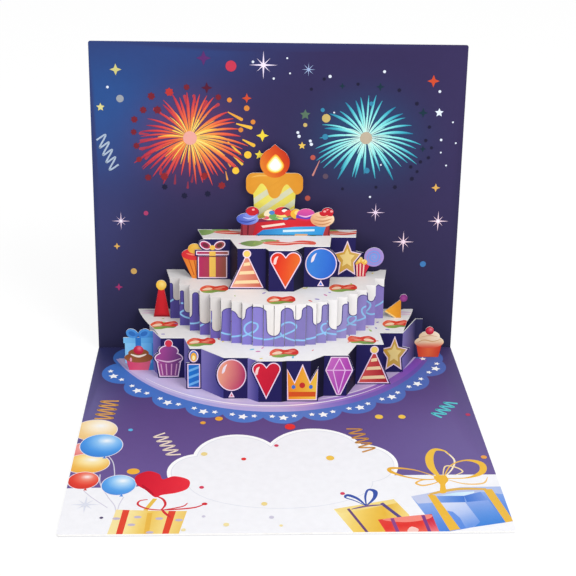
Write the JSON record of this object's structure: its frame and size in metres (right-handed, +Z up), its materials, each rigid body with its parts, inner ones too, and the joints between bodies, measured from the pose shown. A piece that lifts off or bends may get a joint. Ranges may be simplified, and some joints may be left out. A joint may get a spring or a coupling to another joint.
{
  "type": "pop-up card",
  "caption": "Greeting card standing open, its two board panels at a wide angle, with a tiered cake of folded card that pops up between them",
  "frame": {"origin": "centre of the base panel's underside, on the table", "axes": "+Z up, the card opens towards -Y, +X to the right as seen from the front"},
  "size_m": [0.2, 0.1946, 0.1693],
  "materials": {
    "cover_board": "satin",
    "pop_up_card": "satin"
  },
  "bodies": {
    "root": {"folded_cover": "cover_board", "bottom_wall": "pop_up_card", "bottom_plate": "pop_up_card", "middle_tier": "pop_up_card", "top_wall": "pop_up_card", "top_plate": "pop_up_card", "candle": "pop_up_card", "sweets_strip": "pop_up_card"}
  },
  "joints": []
}
